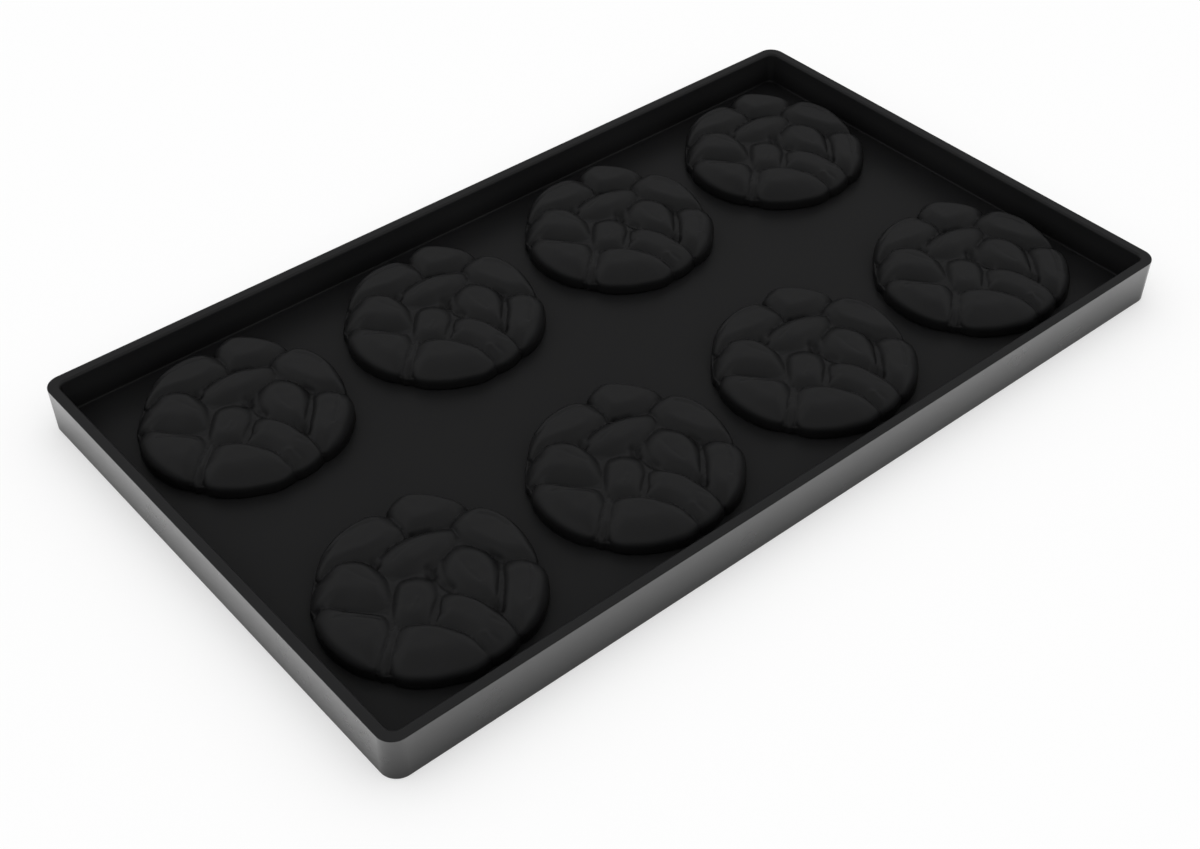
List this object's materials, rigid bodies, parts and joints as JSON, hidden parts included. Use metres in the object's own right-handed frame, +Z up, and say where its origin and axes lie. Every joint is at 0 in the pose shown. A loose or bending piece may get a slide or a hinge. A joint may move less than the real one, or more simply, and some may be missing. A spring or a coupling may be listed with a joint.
{
  "type": "walnut cookie mold",
  "caption": "Shallow rectangular black baking mould: a tray with raised round nut-cluster patterns standing in rows on its floor, each screwed down from below.",
  "frame": {"origin": "middle of the tray's underside", "axes": "+X along the long side, +Y along the short side away from the picture's near row, +Z up"},
  "size_m": [0.3, 0.175, 0.015],
  "materials": {
    "tray_black": "black non-stick coating, satin",
    "pattern_black": "black non-stick coating, satin",
    "screw_steel": "plain"
  },
  "bodies": {
    "root": {"mould_tray": "tray_black", "nut_pattern_front_1": "pattern_black", "nut_pattern_front_2": "pattern_black", "nut_pattern_front_3": "pattern_black", "nut_pattern_front_4": "pattern_black", "nut_pattern_back_1": "pattern_black", "nut_pattern_back_2": "pattern_black", "nut_pattern_back_3": "pattern_black", "nut_pattern_back_4": "pattern_black", "pattern_screw_front_1a": "screw_steel", "pattern_screw_front_1b": "screw_steel", "pattern_screw_front_2a": "screw_steel", "pattern_screw_front_2b": "screw_steel", "pattern_screw_front_3a": "screw_steel", "pattern_screw_front_3b": "screw_steel", "pattern_screw_front_4a": "screw_steel", "pattern_screw_front_4b": "screw_steel", "pattern_screw_back_1a": "screw_steel", "pattern_screw_back_1b": "screw_steel", "pattern_screw_back_2a": "screw_steel", "pattern_screw_back_2b": "screw_steel", "pattern_screw_back_3a": "screw_steel", "pattern_screw_back_3b": "screw_steel", "pattern_screw_back_4a": "screw_steel", "pattern_screw_back_4b": "screw_steel"}
  },
  "joints": []
}
